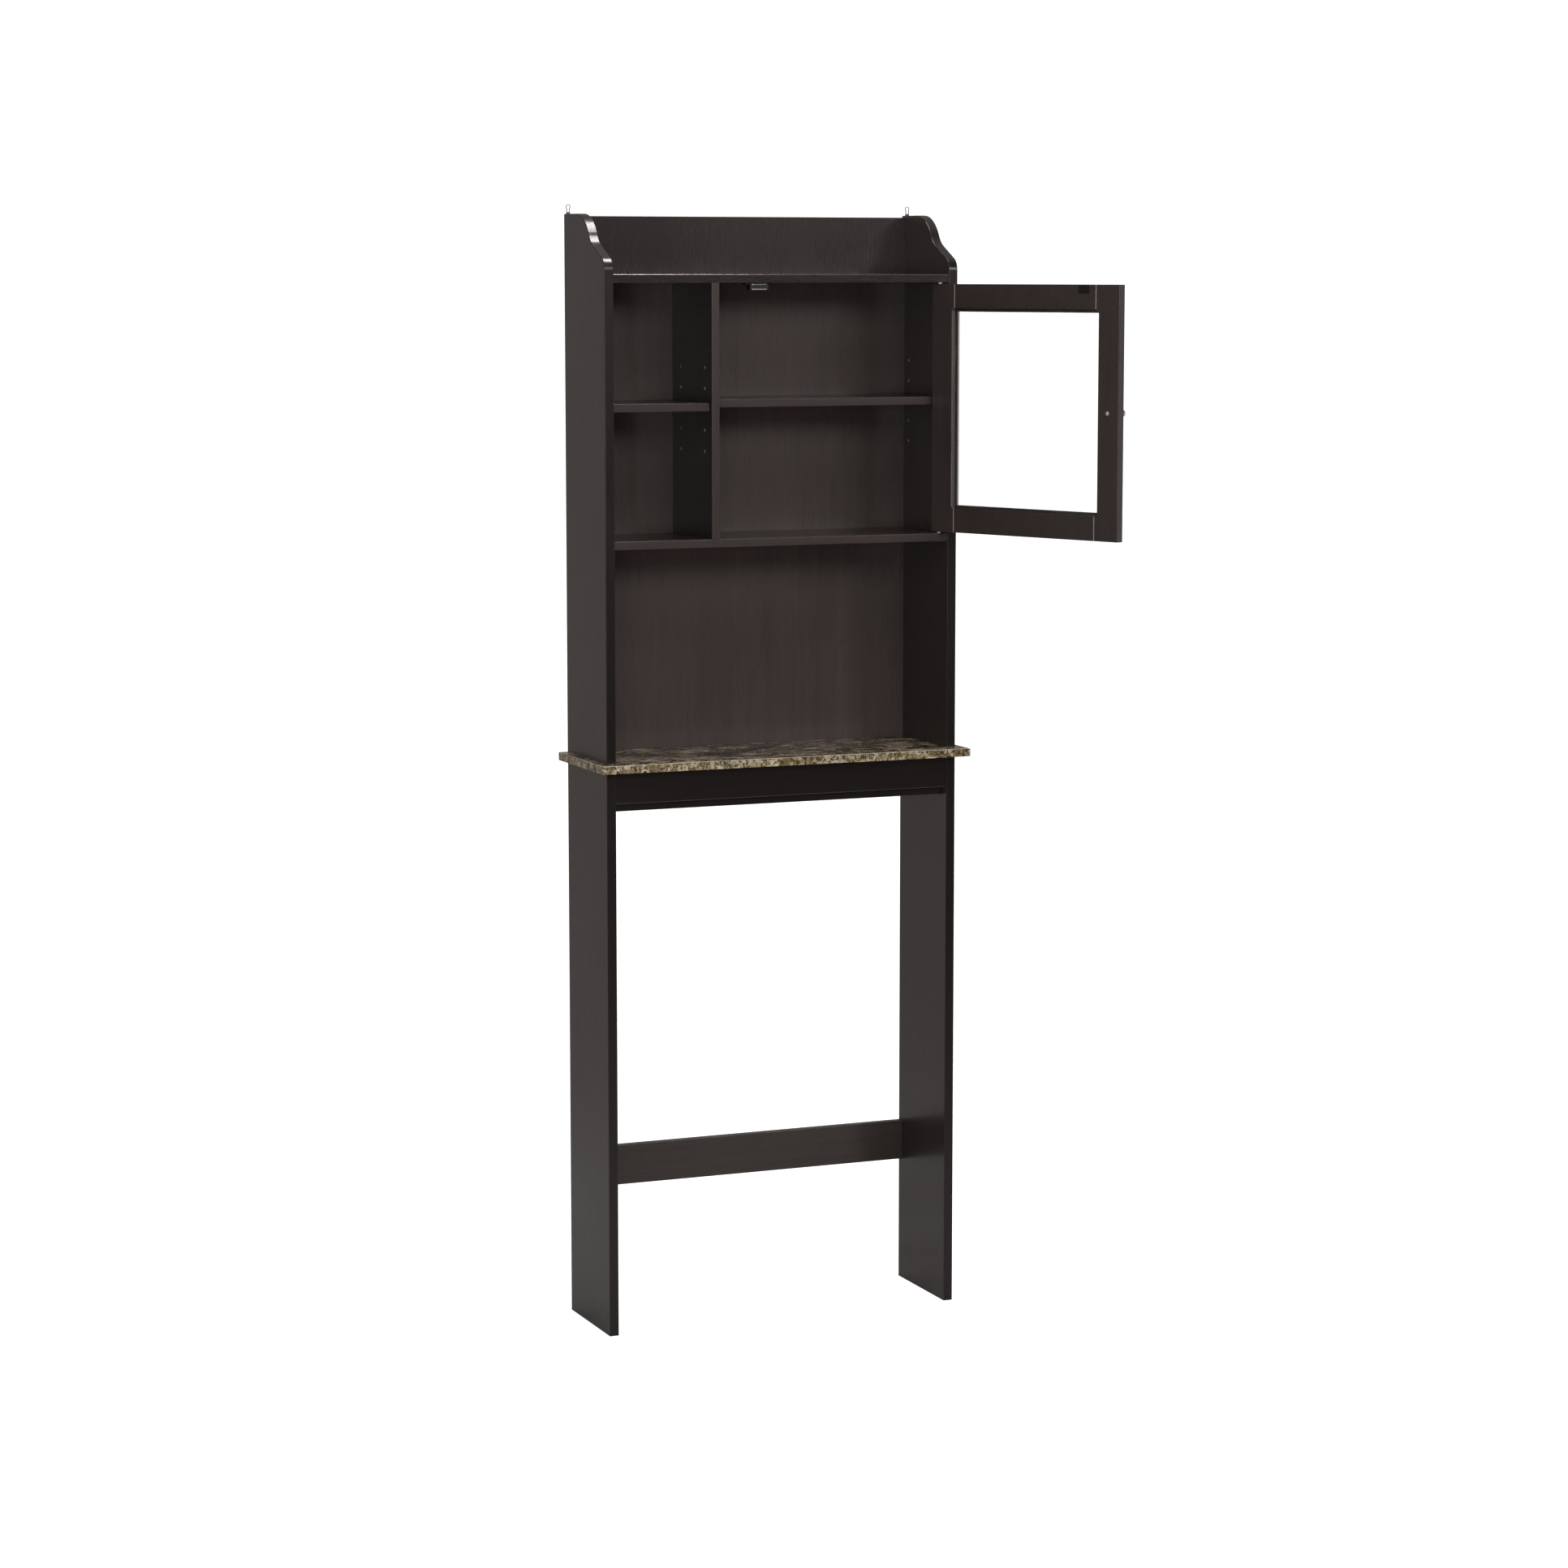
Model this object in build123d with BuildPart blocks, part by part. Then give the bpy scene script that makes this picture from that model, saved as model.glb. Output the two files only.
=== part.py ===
"""Over-the-toilet storage rack: two leg frames, a stone-look counter and an upper cabinet
with a glazed, pivot-hung door, two adjustable shelves, an open bay and a top gallery.

Frame: millimetres, +Z up, the front faces -Y.  The origin is on the floor, midway between
the legs and midway between their front and rear edges.  The door stands open.
"""
from build123d import *

import os
from math import cos, degrees, radians, sin

os.makedirs("parts", exist_ok=True)

# ---------------------------------------------------------------- driving dimensions
rack_width = 586  # over the outer faces of the sides
rack_depth = 178  # front edge to rear edge of the sides
side_thickness = 15  # legs and cabinet sides
board = 12.7  # shelves, rails, counter and door frame
back_thickness = 9
edge_round = 1.0  # soft edge of every painted board
fit = 0.05  # clearance between a pin or dowel and its hole

counter_top_z = 896
counter_overhang_side = 15
counter_overhang_front = 25
apron_height = 50.1
under_board_setback = 13
stretcher_bottom_z = 199
stretcher_height = 64
bottom_shelf_top_z = 1235
top_shelf_top_z = 1638
sides_top_z = 1730
gallery_top_z = 1727
left_cubby_width = 159

# ogee at the top front of the cabinet sides: shoulder, hollow and nose
shoulder_start_y = 33.5
shoulder_radius = 62
shoulder_turn = 58
drop_length = 5.4
hollow_radius = 38
hollow_turn = 32
nose_radius = 20

# adjustable shelves and their rows of pin holes
left_shelf_top_z = 1443
right_shelf_top_z = 1448
left_shelf_setback = 8
right_shelf_setback = 20
shelf_side_gap = 1.0
pin_radius = 2.5
pin_depth = 8
pin_pitch = 32
pins_above = 2  # spare holes above the pins in use, and as many below
pin_height_in_shelf = 2.2  # pin axis above the shelf's underside
left_pin_ys = (-59, 42)
right_pin_ys = (-41, 61)

# door
door_open_angle = 112.5
door_side_gap = 2.0
door_hinge_gap = 2.5
door_end_gap = 2.5
pivot_from_edge = 9.5
stile_width = 46
rail_height = 42.5
joint_groove = 1.1  # chamfer on the rails' ends that shows as a line beside the stiles
rabbet_width = 5.5
rabbet_depth = 8.1
rabbet_corner = 5.5
glass_thickness = 3
glass_edge_gap = 0.5
seal_leg = 2.2  # sealant fillet between the glass and the wall of its rabbet
pivot_pin_radius = 1.75
pivot_pin_in_door = 14
bushing_radius = 4
bushing_depth = 8
bushing_collar_radius = 2.8
knob_from_edge = 21.5
knob_projection = 25
knob_screw_radius = 2
strike_from_edge = 70

# ---------------------------------------------------------------- places worked out from them
half_out = rack_width / 2
half_in = half_out - side_thickness
side_middle = (half_out + half_in) / 2
front_y = -rack_depth / 2
rear_y = rack_depth / 2
board_front_y = front_y + 1
back_rear_y = rear_y - 1
back_front_y = back_rear_y - back_thickness
counter_under_z = counter_top_z - board
apron_bottom_z = counter_under_z - apron_height
under_board_z = (apron_bottom_z - board, apron_bottom_z)
bottom_shelf_z = (bottom_shelf_top_z - board, bottom_shelf_top_z)
top_shelf_z = (top_shelf_top_z - board, top_shelf_top_z)
divider_x = (-half_in + left_cubby_width, -half_in + left_cubby_width + board)
inside = (-half_in, half_in)

left_shelf_z = (left_shelf_top_z - board, left_shelf_top_z)
right_shelf_z = (right_shelf_top_z - board, right_shelf_top_z)
left_pin_z = left_shelf_z[0] + pin_height_in_shelf
right_pin_z = right_shelf_z[0] + pin_height_in_shelf
pin_steps = range(-pins_above, pins_above + 1)
left_pin_holes = [(y, left_pin_z + step * pin_pitch) for y in left_pin_ys for step in pin_steps]
right_pin_holes = [(y, right_pin_z + step * pin_pitch) for y in right_pin_ys for step in pin_steps]


# ---------------------------------------------------------------- shapes used many times
def slab(plane, x_span, y_span, z_span, mode=Mode.ADD):
    """Add or cut a rectangular block given by its spans along a plane's own axes."""
    (x0, x1), (y0, y1), (z0, z1) = x_span, y_span, z_span
    with BuildSketch(plane.offset(z0)) as outline:
        with Locations(((x0 + x1) / 2, (y0 + y1) / 2)):
            Rectangle(x1 - x0, y1 - y0)
    extrude(outline.sketch, amount=z1 - z0, mode=mode)


def rod(plane, points, radius, length, mode=Mode.ADD):
    """Add or cut round stock of one radius that starts on a plane, at each point of it."""
    with BuildSketch(plane) as circles:
        with Locations(*points):
            Circle(radius)
    extrude(circles.sketch, amount=length, mode=mode)


def screw(plane, points, shank_radius, length, mode=Mode.ADD, gap=0.0):
    """Add a countersunk screw at each point of a plane, or cut its seat with a gap."""
    head_radius = 1.8 * shank_radius
    head_height = head_radius - shank_radius
    with BuildSketch(plane) as heads:
        with Locations(*points):
            Circle(head_radius + gap)
    extrude(heads.sketch, amount=head_height, taper=45, mode=mode)
    rod(plane, points, shank_radius + gap, length + gap, mode)


# ---------------------------------------------------------------- joints at the boards' ends
# Every board between the sides is held by dowels, and pulled tight by cam locks.
dowel_radius = 3
dowel_in_side = 10
dowel_in_board = 14
cam_radius = 6
cam_depth = 10
cam_setback = 24
cam_slot = (4, 0.7, 1.5)  # half length, half width, depth
bolt_thread_radius = 2.5
bolt_shaft_radius = 1.9
bolt_head_radius = 2.8
bolt_head_height = 3
bolt_in_side = 10
cam_channel_radius = bolt_head_radius + 0.2


def pair(y, z):
    """Two places mirrored about the middle of the rack's depth."""
    return [(-y, z), (y, z)]


def shelf_joint(z_span, facing):
    """Dowels and cams along the middle of a level board's end."""
    middle = sum(z_span) / 2
    return pair(55, middle), pair(25, middle), Vector(0, 0, facing)


def rail_joint(y, z_span):
    """Two dowels with a cam between them at the end of an upright rail."""
    middle = sum(z_span) / 2
    reach = (z_span[1] - z_span[0]) / 2 - 12
    return [(y, middle - reach), (y, middle + reach)], [(y, middle)], Vector(0, 1, 0)


apron_y = (board_front_y, board_front_y + board)
stretcher_y = (rear_y - board, rear_y)
stretcher_z = (stretcher_bottom_z, stretcher_bottom_z + stretcher_height)
leg_joints = {
    "under_board": shelf_joint(under_board_z, -1),
    "front_apron": rail_joint(sum(apron_y) / 2, (apron_bottom_z, counter_under_z)),
    "rear_stretcher": rail_joint(sum(stretcher_y) / 2, stretcher_z),
}
cabinet_joints = {
    "bottom_shelf": shelf_joint(bottom_shelf_z, -1),
    "top_shelf": shelf_joint(top_shelf_z, 1),
}
end_joints = {**leg_joints, **cabinet_joints}
both_ends = (-1, 1)


def end_plane(end):
    """The inner face of the left (-1) or right (1) side, with its own axes along Y and Z."""
    return Plane.YZ.offset(end * half_in)


def cam_plane(end, place, facing):
    """The mouth of a cam's seat, looking into the board."""
    middle = Vector(end * (half_in - cam_setback), *place)
    return Plane(origin=middle + facing * (board / 2), x_dir=(1, 0, 0), z_dir=-facing)


def cut_board_ends(name):
    """Cut the dowel holes, bolt holes and cam seats in both ends of a board."""
    dowels, cams, facing = end_joints[name]
    for end in both_ends:
        rod(end_plane(end), dowels, dowel_radius + fit, -end * (dowel_in_board + fit), Mode.SUBTRACT)
        rod(end_plane(end), cams, cam_channel_radius, -end * cam_setback, Mode.SUBTRACT)
        for place in cams:
            seat = cam_plane(end, place, facing)
            rod(seat, [(0, 0)], cam_radius + fit, cam_depth + fit, Mode.SUBTRACT)


def cut_side_face(end, joints):
    """Cut the dowel holes and bolt holes for a set of boards in one side's inner face."""
    for dowels, cams, _ in joints.values():
        rod(end_plane(end), dowels, dowel_radius + fit, end * (dowel_in_side + fit), Mode.SUBTRACT)
        rod(end_plane(end), cams, bolt_thread_radius + fit, end * (bolt_in_side + fit), Mode.SUBTRACT)


# ---------------------------------------------------------------- lower frame
# The cabinet stands on dowels that pass through the counter into the legs.
through_dowel_radius = 4
through_dowel_reach = 20
through_dowel_y = 30
counter_screw_radius = 2.5
counter_screw_y = 62
counter_screw_length = 40

for side, end in (("left", -1), ("right", 1)):
    leg_top = Plane.XY.offset(counter_under_z)
    dowel_points = [(end * side_middle, -through_dowel_y), (end * side_middle, through_dowel_y)]
    screw_points = [(end * side_middle, -counter_screw_y), (end * side_middle, counter_screw_y)]
    x_span = sorted((end * half_in, end * half_out))
    with BuildPart() as leg_panel:
        slab(Plane.XY, x_span, (front_y, rear_y), (0, counter_under_z))
        fillet(leg_panel.edges().filter_by(Axis.Z), radius=edge_round)
        cut_side_face(end, leg_joints)
        rod(leg_top, dowel_points, through_dowel_radius + fit, -through_dowel_reach - fit, Mode.SUBTRACT)
        pilot_depth = counter_screw_length - board
        rod(leg_top, screw_points, counter_screw_radius + fit, -pilot_depth - fit, Mode.SUBTRACT)
    leg_panel.part.label = f"leg_panel_{side}"
    export_step(leg_panel.part, f"parts/leg_panel_{side}.step")

middles = [(end * side_middle, y) for end in both_ends for y in (-through_dowel_y, through_dowel_y)]
screw_places = [(end * side_middle, y) for end in both_ends for y in (-counter_screw_y, counter_screw_y)]
# the counter's top seen as a plane that looks down; the screws lie evenly about Y = 0
counter_face = Plane(origin=(0, 0, counter_top_z), x_dir=(1, 0, 0), z_dir=(0, 0, -1))

with BuildPart() as counter_top:
    counter_half = half_out + counter_overhang_side
    counter_y = (front_y - counter_overhang_front, rear_y)
    slab(Plane.XY, (-counter_half, counter_half), counter_y, (counter_under_z, counter_top_z))
    fillet(counter_top.faces().sort_by(Axis.Z)[-1].edges(), radius=edge_round)
    rod(Plane.XY.offset(counter_under_z), middles, through_dowel_radius + fit, board, Mode.SUBTRACT)
    screw(counter_face, screw_places, counter_screw_radius, board, Mode.SUBTRACT, fit)
counter_top.part.label = "counter_top"
export_step(counter_top.part, "parts/counter_top.step")

with BuildPart() as counter_screws:
    screw(counter_face, screw_places, counter_screw_radius, counter_screw_length)
counter_screws.part.label = "counter_screws"
export_step(counter_screws.part, "parts/counter_screws.step")

with BuildPart() as through_dowels:
    dowel_foot = Plane.XY.offset(counter_under_z - through_dowel_reach)
    rod(dowel_foot, middles, through_dowel_radius, board + 2 * through_dowel_reach)
    fillet(through_dowels.edges().filter_by(GeomType.CIRCLE), radius=edge_round)
through_dowels.part.label = "through_dowels"
export_step(through_dowels.part, "parts/through_dowels.step")

with BuildPart() as front_apron:
    slab(Plane.XY, inside, apron_y, (apron_bottom_z, counter_under_z))
    lower_edges = front_apron.edges().filter_by(Axis.X).group_by(Axis.Z)[0]
    fillet(lower_edges.sort_by(Axis.Y)[0], radius=edge_round)
    cut_board_ends("front_apron")
front_apron.part.label = "front_apron"
export_step(front_apron.part, "parts/front_apron.step")

with BuildPart() as under_board:
    slab(Plane.XY, inside, (front_y + under_board_setback, rear_y), under_board_z)
    fillet(under_board.edges().filter_by(Axis.X).group_by(Axis.Y)[0], radius=edge_round / 2)
    cut_board_ends("under_board")
under_board.part.label = "under_board"
export_step(under_board.part, "parts/under_board.step")

with BuildPart() as rear_stretcher:
    slab(Plane.XY, inside, stretcher_y, stretcher_z)
    fillet(rear_stretcher.edges().filter_by(Axis.X), radius=edge_round)
    cut_board_ends("rear_stretcher")
rear_stretcher.part.label = "rear_stretcher"
export_step(rear_stretcher.part, "parts/rear_stretcher.step")

# ---------------------------------------------------------------- cabinet carcass
back_lap = 6  # how far the back boards lap into the sides
back_screw_radius = 1.5
back_screw_length = 24
back_screw_x = half_in + back_lap / 2
back_screw_zs = (935, 1085, 1195, 1345, 1590)
gallery_screw_zs = (1655, 1710)
lap_span = (-half_in - back_lap, half_in + back_lap)
lower_back_z = (counter_top_z, top_shelf_z[0])
gallery_z = (top_shelf_top_z, gallery_top_z)

hanger_width = 7.5
hanger_thickness = 1.0
hanger_x = half_in + 8.5
hanger_bottom_z = 1695
hanger_top_z = 1744.7
hanger_eye_radius = 2.75
hanger_neck_half_width = 2.9
hanger_neck_bottom_z = 1731
hanger_slot_half_width = 1.8
hanger_slot_bottom_z = 1733
hanger_screw_z = 1704
hanger_screw_length = 18
hanger_z = (hanger_bottom_z, sides_top_z)

# planes on the rear of the back boards and of the sides, looking forward: their axes are X and Z
back_face = Plane(origin=(0, back_rear_y, 0), x_dir=(1, 0, 0), z_dir=(0, -1, 0))
hanger_face = Plane(origin=(0, rear_y, 0), x_dir=(1, 0, 0), z_dir=(0, -1, 0))
divider_middle = sum(divider_x) / 2
shelf_screws = [(x, sum(bottom_shelf_z) / 2) for x in (-180, 0, 180)]
divider_screws = [(divider_middle, 1300), (divider_middle, 1560)]
side_screws = [(end * back_screw_x, z) for end in both_ends for z in back_screw_zs]
gallery_screws = [(end * back_screw_x, z) for end in both_ends for z in gallery_screw_zs]


def cut_back_screws(points):
    """Cut the seats of the screws that come in through the back boards."""
    screw(back_face, points, back_screw_radius, back_screw_length, Mode.SUBTRACT, fit)


for side, end in (("left", -1), ("right", 1)):
    x_span = sorted((end * half_in, end * half_out))
    lap = sorted((end * half_in, end * (half_in + back_lap)))
    with BuildPart() as side_panel:
        with BuildSketch(end_plane(end)):
            with BuildLine():
                top = Line((rear_y, sides_top_z), (shoulder_start_y, sides_top_z))
                shoulder = JernArc(top @ 1, top % 1, shoulder_radius, shoulder_turn)
                drop = PolarLine(shoulder @ 1, drop_length, direction=shoulder % 1)
                hollow = JernArc(drop @ 1, drop % 1, hollow_radius, -hollow_turn)
                slope_angle = radians(shoulder_turn - hollow_turn)
                nose_run = nose_radius * (1 - sin(slope_angle))
                slope_run = (hollow @ 1).X - front_y - nose_run
                slope = PolarLine(hollow @ 1, slope_run / cos(slope_angle), direction=hollow % 1)
                nose = JernArc(slope @ 1, slope % 1, nose_radius, 90 - degrees(slope_angle))
                foot_front = (front_y, counter_top_z)
                foot_rear = (rear_y, counter_top_z)
                Polyline(nose @ 1, foot_front, foot_rear, top @ 0)
            make_face()
        extrude(amount=end * side_thickness)
        rim = side_panel.edges().filter_by(Axis.X, reverse=True)
        rim = rim.filter_by(lambda edge: edge.center().Y < rear_y - 1)
        rim = rim.filter_by(lambda edge: edge.center().Z > counter_top_z + 1)
        fillet(rim, radius=edge_round)
        for z_span in (lower_back_z, gallery_z):
            slab(Plane.XY, lap, (back_front_y, rear_y), z_span, Mode.SUBTRACT)
        cut_side_face(end, cabinet_joints)
        pin_holes = left_pin_holes if end < 0 else right_pin_holes
        rod(end_plane(end), pin_holes, pin_radius, end * pin_depth, Mode.SUBTRACT)
        dowel_points = [(end * side_middle, -through_dowel_y), (end * side_middle, through_dowel_y)]
        foot = Plane.XY.offset(counter_top_z)
        rod(foot, dowel_points, through_dowel_radius + fit, through_dowel_reach + fit, Mode.SUBTRACT)
        cut_back_screws(side_screws + gallery_screws)
        recess = sorted((end * (hanger_x - hanger_width / 2), end * (hanger_x + hanger_width / 2)))
        slab(Plane.XY, recess, (rear_y - hanger_thickness, rear_y), hanger_z, Mode.SUBTRACT)
        screw(hanger_face, [(end * hanger_x, hanger_screw_z)], back_screw_radius,
              hanger_screw_length, Mode.SUBTRACT, fit)
    side_panel.part.label = f"side_panel_{side}"
    export_step(side_panel.part, f"parts/side_panel_{side}.step")

pivot_x = half_in - door_hinge_gap - pivot_from_edge
pivot_y = front_y + board / 2
divider_dowel_points = [(divider_middle, -50), (divider_middle, 45)]
divider_dowel_in_shelf = 9

with BuildPart() as bottom_shelf:
    slab(Plane.XY, inside, (board_front_y, back_front_y), bottom_shelf_z)
    fillet(bottom_shelf.edges().filter_by(Axis.X).group_by(Axis.Y)[0], radius=edge_round)
    cut_board_ends("bottom_shelf")
    shelf_face = Plane.XY.offset(bottom_shelf_top_z)
    rod(shelf_face, divider_dowel_points, dowel_radius + fit, -divider_dowel_in_shelf - fit, Mode.SUBTRACT)
    rod(shelf_face, [(pivot_x, pivot_y)], bushing_radius + fit, -bushing_depth - fit, Mode.SUBTRACT)
    cut_back_screws(shelf_screws)
bottom_shelf.part.label = "bottom_shelf"
export_step(bottom_shelf.part, "parts/bottom_shelf.step")

# ---------------------------------------------------------------- magnetic catch, under the top shelf
door_width = half_in - divider_x[1] - door_side_gap - door_hinge_gap
door_z = (bottom_shelf_top_z + door_end_gap, top_shelf_z[0] - door_end_gap)
free_edge = door_width - pivot_from_edge  # distance from the pivot to the free edge
catch_x = pivot_x - (free_edge - strike_from_edge)
catch_front_y = front_y + board + 1.3
catch_depth = 16
catch_height = 11
catch_half_body = 15
catch_half_ears = 22.5
ear_thickness = 3
plate_half_width = 12.5
plate_thickness = 1.2
plate_spacing = 7.5
plate_nose = 2  # how far the pole plates stand proud of the catch's body
catch_screw_radius = 1.4
catch_screw_length = 11
catch_y = (catch_front_y + plate_nose, catch_front_y + plate_nose + catch_depth)
catch_z = (top_shelf_z[0] - catch_height, top_shelf_z[0])
upper_plate_z = (catch_z[1] - 3.2, catch_z[1] - 3.2 + plate_thickness)
lower_plate_z = tuple(z - plate_spacing for z in upper_plate_z)
ear_face = Plane.XY.offset(top_shelf_z[0] - ear_thickness)
ear_screws = [(catch_x + side * 18.75, sum(catch_y) / 2) for side in both_ends]

with BuildPart() as top_shelf:
    slab(Plane.XY, inside, (board_front_y, back_rear_y), top_shelf_z)
    fillet(top_shelf.edges().filter_by(Axis.X).group_by(Axis.Y)[0], radius=edge_round)
    cut_board_ends("top_shelf")
    shelf_face = Plane.XY.offset(top_shelf_z[0])
    rod(shelf_face, divider_dowel_points, dowel_radius + fit, divider_dowel_in_shelf + fit, Mode.SUBTRACT)
    rod(shelf_face, [(pivot_x, pivot_y)], bushing_radius + fit, bushing_depth + fit, Mode.SUBTRACT)
    rod(shelf_face, ear_screws, catch_screw_radius + fit, catch_screw_length - ear_thickness + fit,
        Mode.SUBTRACT)
top_shelf.part.label = "top_shelf"
export_step(top_shelf.part, "parts/top_shelf.step")

with BuildPart() as divider:
    slab(Plane.XY, divider_x, (front_y, back_front_y), (bottom_shelf_top_z, top_shelf_z[0]))
    fillet(divider.edges().filter_by(Axis.Z).group_by(Axis.Y)[0], radius=edge_round)
    rod(Plane.YZ.offset(divider_x[0]), left_pin_holes, pin_radius, pin_depth, Mode.SUBTRACT)
    rod(Plane.YZ.offset(divider_x[1]), right_pin_holes, pin_radius, -pin_depth, Mode.SUBTRACT)
    foot = Plane.XY.offset(bottom_shelf_top_z)
    head = Plane.XY.offset(top_shelf_z[0])
    rod(foot, divider_dowel_points, dowel_radius + fit, dowel_in_board + fit, Mode.SUBTRACT)
    rod(head, divider_dowel_points, dowel_radius + fit, -dowel_in_board - fit, Mode.SUBTRACT)
    cut_back_screws(divider_screws)
divider.part.label = "divider"
export_step(divider.part, "parts/divider.step")

with BuildPart() as back_panel:
    slab(Plane.XY, lap_span, (back_front_y, back_rear_y), lower_back_z)
    cut_back_screws(side_screws + shelf_screws + divider_screws)
back_panel.part.label = "back_panel"
export_step(back_panel.part, "parts/back_panel.step")

with BuildPart() as gallery_board:
    slab(Plane.XY, lap_span, (back_front_y, back_rear_y), gallery_z)
    cut_back_screws(gallery_screws)
gallery_board.part.label = "gallery_board"
export_step(gallery_board.part, "parts/gallery_board.step")

with BuildPart() as back_screws:
    back_points = side_screws + shelf_screws + divider_screws + gallery_screws
    screw(back_face, back_points, back_screw_radius, back_screw_length)
back_screws.part.label = "back_screws"
export_step(back_screws.part, "parts/back_screws.step")

# ---------------------------------------------------------------- dowels, cams and bolts
with BuildPart() as wood_dowels:
    dowel_length = dowel_in_side + dowel_in_board
    for end in both_ends:
        outer_face = end_plane(end).offset(end * dowel_in_side)
        for dowels, _, _ in end_joints.values():
            rod(outer_face, dowels, dowel_radius, -end * dowel_length)
    for start, up in ((bottom_shelf_top_z, 1), (top_shelf_z[0], -1)):
        hidden_end = Plane.XY.offset(start - up * divider_dowel_in_shelf)
        rod(hidden_end, divider_dowel_points, dowel_radius, up * (divider_dowel_in_shelf + dowel_in_board))
    fillet(wood_dowels.edges().filter_by(GeomType.CIRCLE), radius=edge_round)
wood_dowels.part.label = "wood_dowels"
export_step(wood_dowels.part, "parts/wood_dowels.step")

with BuildPart() as cam_bolts:
    shaft_length = cam_setback - bolt_head_height
    for end in both_ends:
        for _, cams, _ in end_joints.values():
            head_plane = end_plane(end).offset(-end * shaft_length)
            rod(end_plane(end), cams, bolt_thread_radius, end * bolt_in_side)
            rod(end_plane(end), cams, bolt_shaft_radius, -end * shaft_length)
            rod(head_plane, cams, bolt_head_radius, -end * bolt_head_height)
cam_bolts.part.label = "cam_bolts"
export_step(cam_bolts.part, "parts/cam_bolts.step")

with BuildPart() as cam_locks:
    half_length, half_width, slot_depth = cam_slot
    long_span, short_span = (-half_length, half_length), (-half_width, half_width)
    for end in both_ends:
        for _, cams, facing in end_joints.values():
            for place in cams:
                seat = cam_plane(end, place, facing)
                rod(seat, [(0, 0)], cam_radius, cam_depth)
                slab(seat, long_span, short_span, (0, slot_depth), Mode.SUBTRACT)
                slab(seat, short_span, long_span, (0, slot_depth), Mode.SUBTRACT)
            channel_length = cam_setback + fit
            rod(end_plane(end), cams, cam_channel_radius, -end * channel_length, Mode.SUBTRACT)
cam_locks.part.label = "cam_locks"
export_step(cam_locks.part, "parts/cam_locks.step")

# ---------------------------------------------------------------- adjustable shelves on pins
left_bay = (-half_in, divider_x[0])
right_bay = (divider_x[1], half_in)
bays = {
    "left": (left_bay, left_shelf_z, left_shelf_setback, left_pin_ys, left_pin_z),
    "right": (right_bay, right_shelf_z, right_shelf_setback, right_pin_ys, right_pin_z),
}
pin_reach = 8  # how far a pin stands into the bay
pin_play = 0.05
groove_half_width = 2.7

for side, (bay, shelf_z, setback, pin_ys, pin_z) in bays.items():
    shelf_x = (bay[0] + shelf_side_gap, bay[1] - shelf_side_gap)
    shelf_y = (front_y + setback, back_front_y - shelf_side_gap)
    groove_top = pin_z + pin_radius + pin_play
    with BuildPart() as adjustable_shelf:
        slab(Plane.XY, shelf_x, shelf_y, shelf_z)
        fillet(adjustable_shelf.edges().filter_by(Axis.X).group_by(Axis.Y)[0], radius=edge_round)
        for pin_y in pin_ys:
            groove_y = (pin_y - groove_half_width, pin_y + groove_half_width)
            for groove_x in ((bay[0], bay[0] + pin_reach + 1), (bay[1] - pin_reach - 1, bay[1])):
                slab(Plane.XY, groove_x, groove_y, (shelf_z[0], groove_top), Mode.SUBTRACT)
    adjustable_shelf.part.label = f"adjustable_shelf_{side}"
    export_step(adjustable_shelf.part, f"parts/adjustable_shelf_{side}.step")

    with BuildPart() as shelf_pins:
        places = [(pin_y, pin_z) for pin_y in pin_ys]
        pin_length = pin_depth + pin_reach
        rod(Plane.YZ.offset(bay[0] - pin_depth), places, pin_radius - fit, pin_length)
        rod(Plane.YZ.offset(bay[1] + pin_depth), places, pin_radius - fit, -pin_length)
        fillet(shelf_pins.edges().filter_by(GeomType.CIRCLE), radius=edge_round / 2)
    shelf_pins.part.label = f"shelf_pins_{side}"
    export_step(shelf_pins.part, f"parts/shelf_pins_{side}.step")

# ---------------------------------------------------------------- catch
with BuildPart() as catch_body:
    body_x = (catch_x - catch_half_body, catch_x + catch_half_body)
    ears_x = (catch_x - catch_half_ears, catch_x + catch_half_ears)
    plates_x = (catch_x - plate_half_width, catch_x + plate_half_width)
    plates_y = (catch_front_y, catch_y[1] - 2)
    magnet_z = (lower_plate_z[1], upper_plate_z[0])
    slab(Plane.XY, body_x, catch_y, catch_z)
    slab(Plane.XY, ears_x, catch_y, (catch_z[1] - ear_thickness, catch_z[1]))
    fillet(catch_body.edges().filter_by(Axis.Z).group_by(Axis.X)[0], radius=2.5)
    fillet(catch_body.edges().filter_by(Axis.Z).group_by(Axis.X)[-1], radius=2.5)
    slab(Plane.XY, plates_x, plates_y, (lower_plate_z[0], upper_plate_z[1]), Mode.SUBTRACT)
    screw(ear_face, ear_screws, catch_screw_radius, ear_thickness, Mode.SUBTRACT, fit)
catch_body.part.label = "catch_body"
export_step(catch_body.part, "parts/catch_body.step")

with BuildPart() as catch_magnet:
    slab(Plane.XY, plates_x, (catch_front_y + plate_nose, plates_y[1]), magnet_z)
catch_magnet.part.label = "catch_magnet"
export_step(catch_magnet.part, "parts/catch_magnet.step")

with BuildPart() as catch_pole_plates:
    slab(Plane.XY, plates_x, plates_y, upper_plate_z)
    slab(Plane.XY, plates_x, plates_y, lower_plate_z)
    fillet(catch_pole_plates.edges().filter_by(Axis.Z).group_by(Axis.Y)[0], radius=2)
catch_pole_plates.part.label = "catch_pole_plates"
export_step(catch_pole_plates.part, "parts/catch_pole_plates.step")

with BuildPart() as catch_screws:
    screw(ear_face, ear_screws, catch_screw_radius, catch_screw_length)
catch_screws.part.label = "catch_screws"
export_step(catch_screws.part, "parts/catch_screws.step")

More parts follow.
